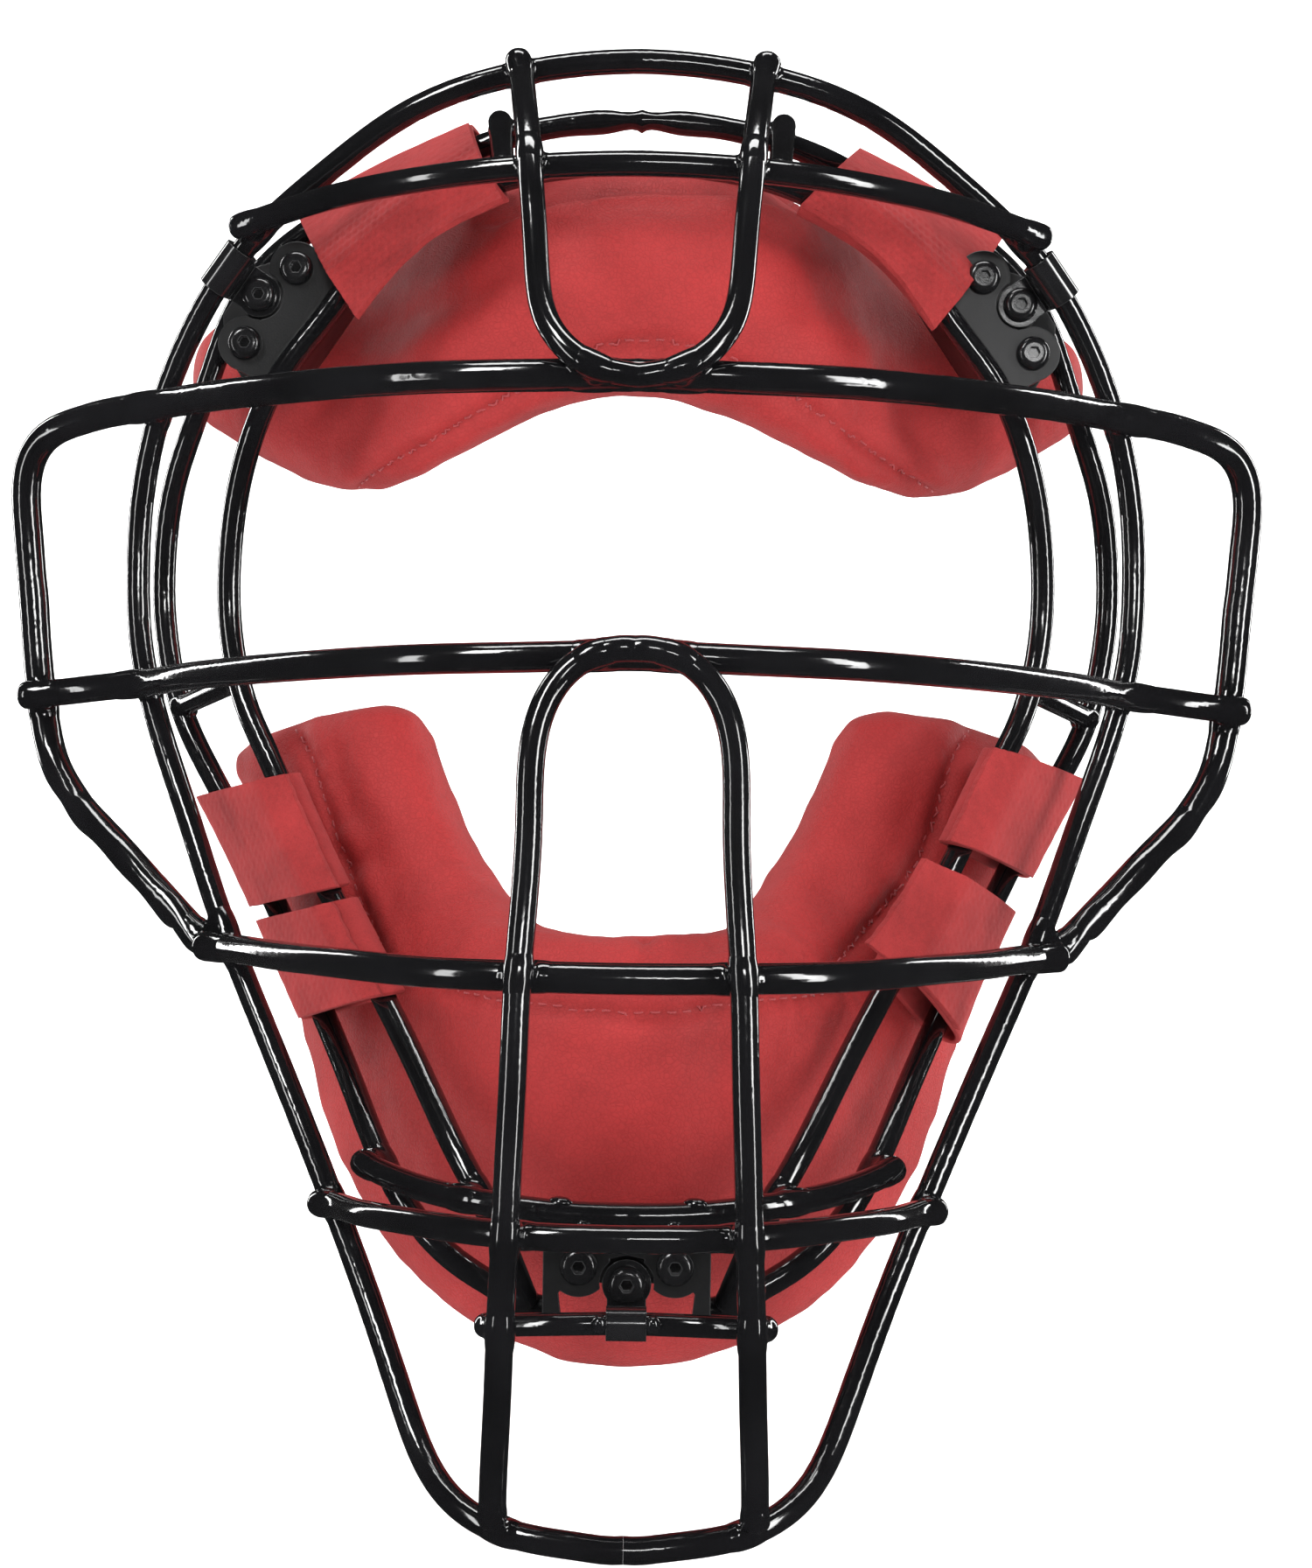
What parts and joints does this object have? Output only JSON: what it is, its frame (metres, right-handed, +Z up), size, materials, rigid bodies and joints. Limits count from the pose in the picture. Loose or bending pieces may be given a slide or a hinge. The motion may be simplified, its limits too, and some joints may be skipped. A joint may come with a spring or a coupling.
{
  "type": "catcher's mask",
  "caption": "Steel wire face mask with a sprung outer cage floating on a padded inner cage, with forehead and chin pads held by hook-and-loop straps.",
  "frame": {"origin": "centre of the whole assembly's bounding box, on the cages' plane of symmetry", "axes": "+X to the viewer's right when facing the mask's front, +Y rearwards to the wearer, +Z up"},
  "size_m": [0.2582, 0.1534, 0.2766],
  "materials": {
    "coated_wire": "gloss black coating over round steel wire",
    "bracket_plate": "satin charcoal coating on bent sheet steel",
    "lug_metal": "gloss black coating on a formed clamp",
    "black_fastener": "black oxide, lightly oiled",
    "spring_steel": "bright spring wire",
    "pad_cover": "red soft-grain cover, low sheen, stitched seams",
    "strap_webbing": "red hook-and-loop pile webbing"
  },
  "bodies": {
    "outer_cage": {"outer_rim_wire": "coated_wire", "brow_and_ear_guard_wire": "coated_wire", "eye_bar": "coated_wire", "cheek_bar": "coated_wire", "outer_chin_bar": "coated_wire", "forehead_bar": "coated_wire", "crown_u_wire": "coated_wire", "nose_u_wire": "coated_wire", "chin_mount_wire": "coated_wire", "lug_left": "lug_metal", "lug_right": "lug_metal", "lug_chin": "lug_metal", "lug_screws": "black_fastener", "lug_lock_nuts": "black_fastener", "float_plate_left": "bracket_plate", "float_plate_right": "bracket_plate", "float_plate_chin": "bracket_plate"},
    "inner_cage": {"inner_front_loop": "coated_wire", "inner_rear_loop": "coated_wire", "inner_chin_bar": "coated_wire", "side_strut_left": "coated_wire", "side_strut_right": "coated_wire", "top_hook_left": "coated_wire", "top_hook_right": "coated_wire", "isolator_bracket_left": "bracket_plate", "isolator_bracket_right": "bracket_plate", "isolator_bracket_chin": "bracket_plate", "guide_screws": "black_fastener", "guide_washers": "black_fastener", "guide_lock_nuts": "black_fastener", "isolator_springs_left": "spring_steel", "isolator_springs_right": "spring_steel", "isolator_springs_chin": "spring_steel", "forehead_pad": "pad_cover", "chin_and_cheek_pad": "pad_cover", "upper_strap_left": "strap_webbing", "upper_strap_right": "strap_webbing", "cheek_strap_left": "strap_webbing", "cheek_strap_right": "strap_webbing", "jaw_strap_left": "strap_webbing", "jaw_strap_right": "strap_webbing"}
  },
  "joints": [
    {"name": "cage_slide", "type": "slide", "parent": "inner_cage", "child": "outer_cage", "axis": [0, 1, 0], "range_m": [0, 0.007], "stiffness_N_per_m": 6000, "deforming": ["isolator_springs_left", "isolator_springs_right", "isolator_springs_chin"]}
  ]
}
